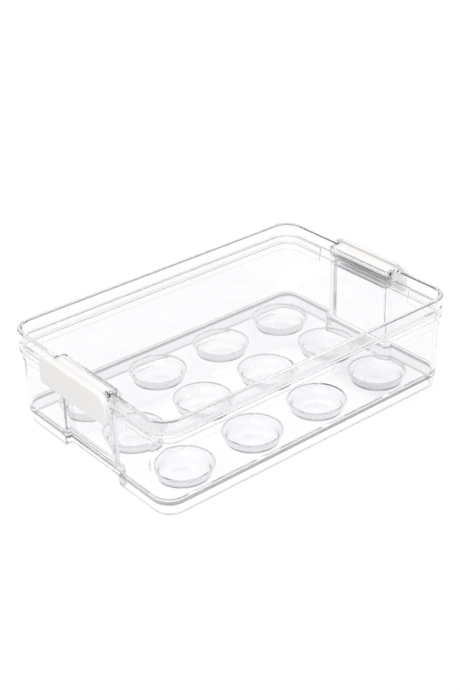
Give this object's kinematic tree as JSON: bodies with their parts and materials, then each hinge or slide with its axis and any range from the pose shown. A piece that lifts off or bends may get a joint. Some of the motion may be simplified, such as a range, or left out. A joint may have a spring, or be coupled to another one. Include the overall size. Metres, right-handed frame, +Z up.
{
  "type": "egg keeper with flip latches",
  "caption": "Clear stackable food keeper with round egg cups moulded into its floor, a lift-off lid with a raised stacking ring and a white flip latch at each end.",
  "frame": {"origin": "centre of the underside of the foot, on the surface that the keeper stands on", "axes": "+X along the keeper towards one latch, +Z up"},
  "size_m": [0.317, 0.201, 0.0862],
  "materials": {
    "clear_bin": "clear gloss",
    "clear_lid": "clear gloss",
    "white_latch": "smooth satin"
  },
  "bodies": {
    "bin": {"bin": "clear_bin"},
    "lid": {"lid": "clear_lid"},
    "latch_left": {"latch_left": "white_latch"},
    "latch_right": {"latch_right": "white_latch"}
  },
  "joints": [
    {"name": "lid_lift", "type": "slide", "parent": "bin", "child": "lid", "axis": [0, 0, 1], "range_m": [0, 0.12]},
    {"name": "latch_right_swing", "type": "hinge", "parent": "lid", "child": "latch_right", "pos_m": [0.145, 0, 0.08], "axis": [0, -1, 0], "range_deg": [0, 90]},
    {"name": "latch_left_swing", "type": "hinge", "parent": "lid", "child": "latch_left", "pos_m": [-0.145, 0, 0.08], "axis": [0, 1, 0], "range_deg": [0, 90]}
  ]
}
